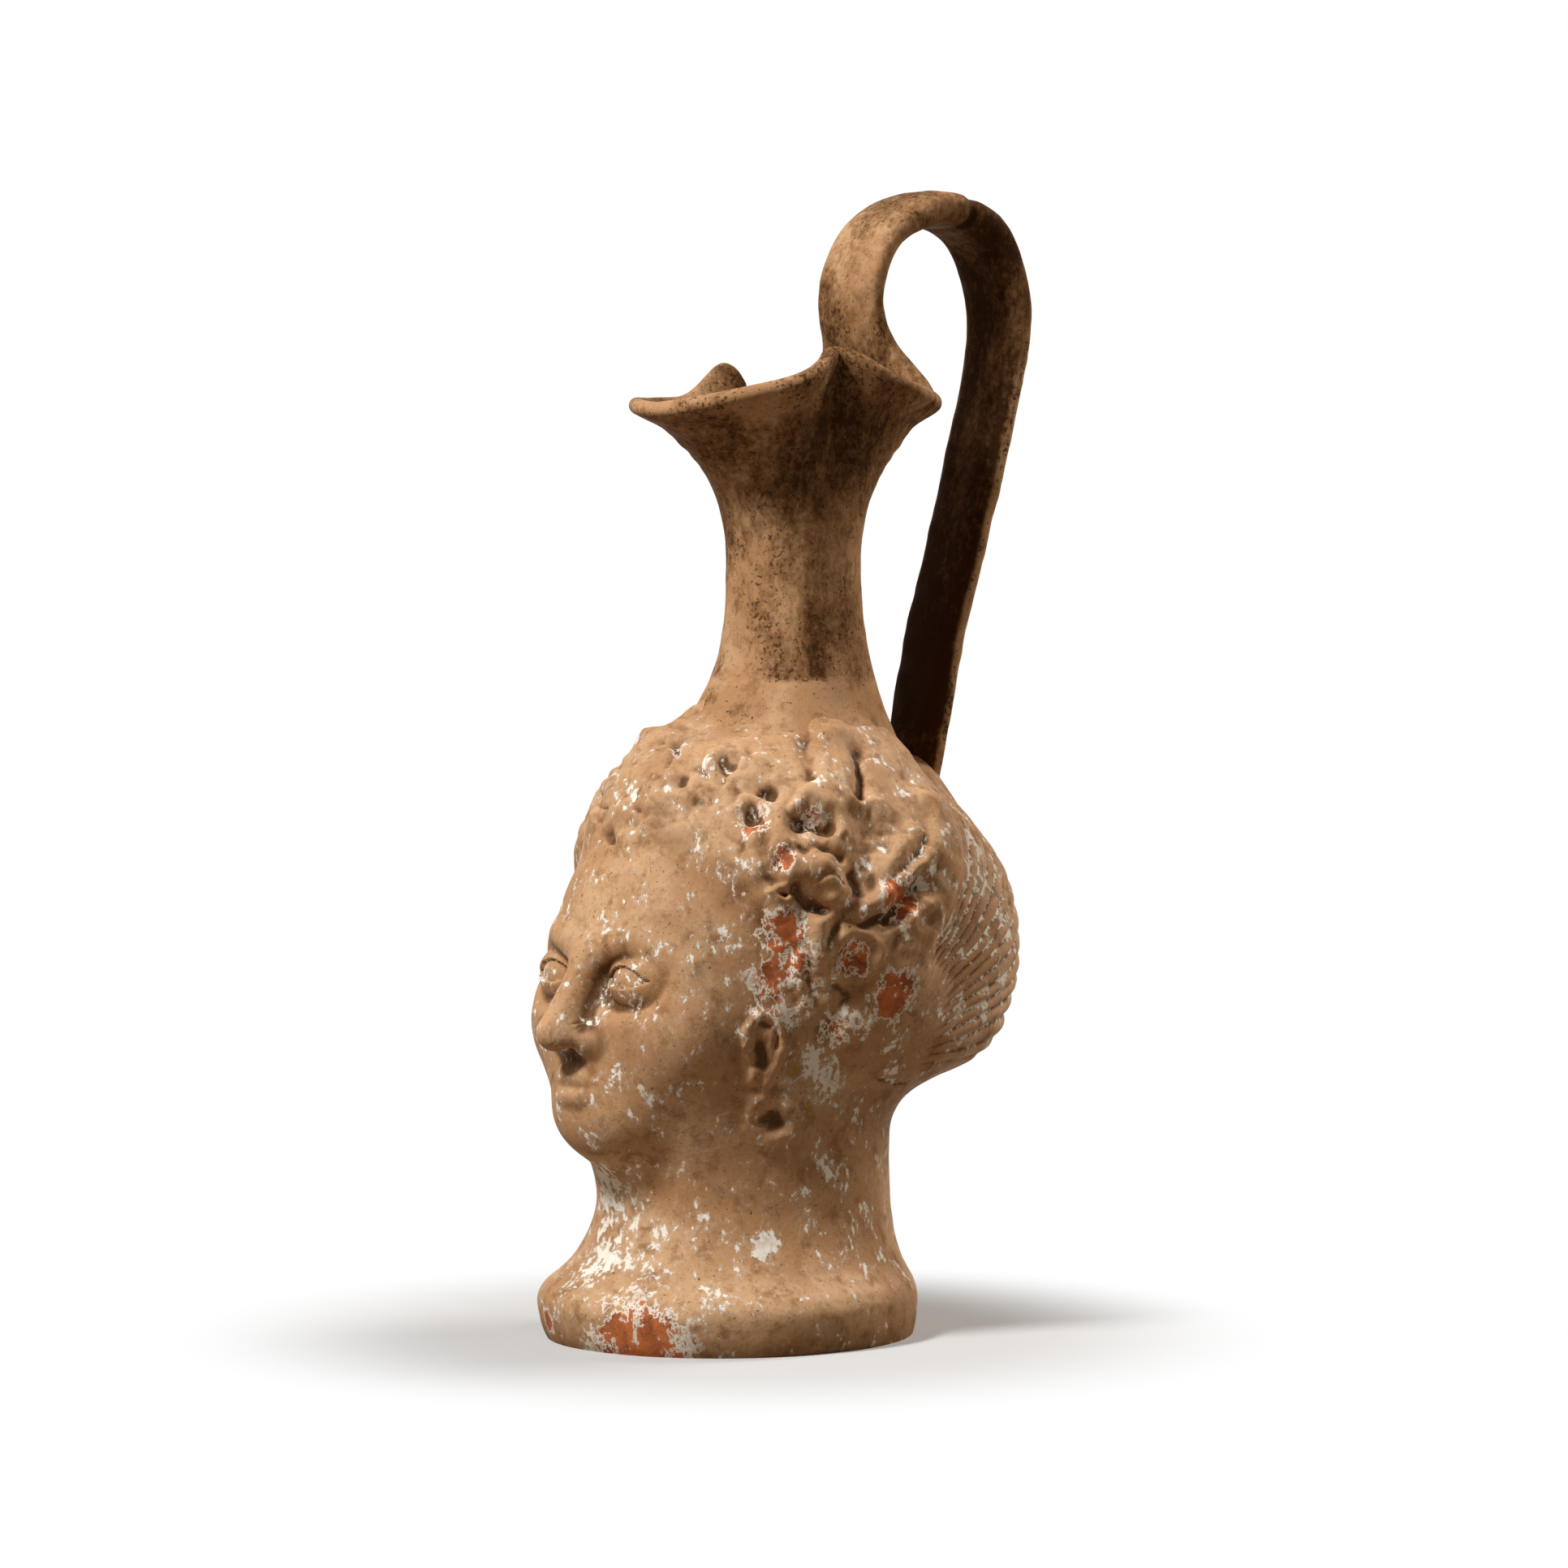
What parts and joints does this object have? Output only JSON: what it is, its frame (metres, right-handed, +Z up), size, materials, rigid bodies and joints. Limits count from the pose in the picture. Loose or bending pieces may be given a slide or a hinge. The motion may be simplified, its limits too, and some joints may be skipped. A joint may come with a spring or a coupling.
{
  "type": "head-shaped oinochoe",
  "caption": "Terracotta wine jug whose body is a wreathed head on a flared foot, with a tall spout neck, a pinched trefoil mouth and a strap handle that loops above the rim.",
  "frame": {"origin": "middle of the flat underside of the foot, on the surface that the jug stands on", "axes": "+Z up along the jug, -Y the way the face and the pouring lip look, +X the left side of the head"},
  "size_m": [0.095, 0.1354, 0.2601],
  "materials": {
    "pale_clay": "matt fired clay with worn white slip",
    "sooty_clay": "satin brown-black wash, worn",
    "raw_clay": "rough unslipped clay"
  },
  "bodies": {
    "root": {"foot": "pale_clay", "floor_disc": "raw_clay", "face_half": "pale_clay", "hair_half": "pale_clay", "spout_neck": "sooty_clay", "strap_handle": "sooty_clay", "seam_coil_left": "raw_clay", "seam_coil_right": "raw_clay", "bud_left": "pale_clay", "bud_right": "pale_clay", "fillet_end_left": "pale_clay", "fillet_end_right": "pale_clay", "rosette_back_left": "pale_clay", "rosette_back_right": "pale_clay", "rosette_front_left": "pale_clay", "rosette_front_right": "pale_clay", "leaf_large_left": "pale_clay", "leaf_large_right": "pale_clay", "leaf_middle_left": "pale_clay", "leaf_middle_right": "pale_clay", "leaf_lower_left": "pale_clay", "leaf_lower_right": "pale_clay", "rosette_small_left": "pale_clay", "rosette_small_right": "pale_clay", "rosette_lower_left": "pale_clay", "rosette_lower_right": "pale_clay", "curl_temple_left": "pale_clay", "curl_temple_right": "pale_clay", "curl_front_left": "pale_clay", "curl_front_right": "pale_clay", "curl_brow_left": "pale_clay", "curl_brow_right": "pale_clay", "ear_left": "pale_clay", "ear_right": "pale_clay", "earring_left": "pale_clay", "earring_right": "pale_clay"}
  },
  "joints": []
}
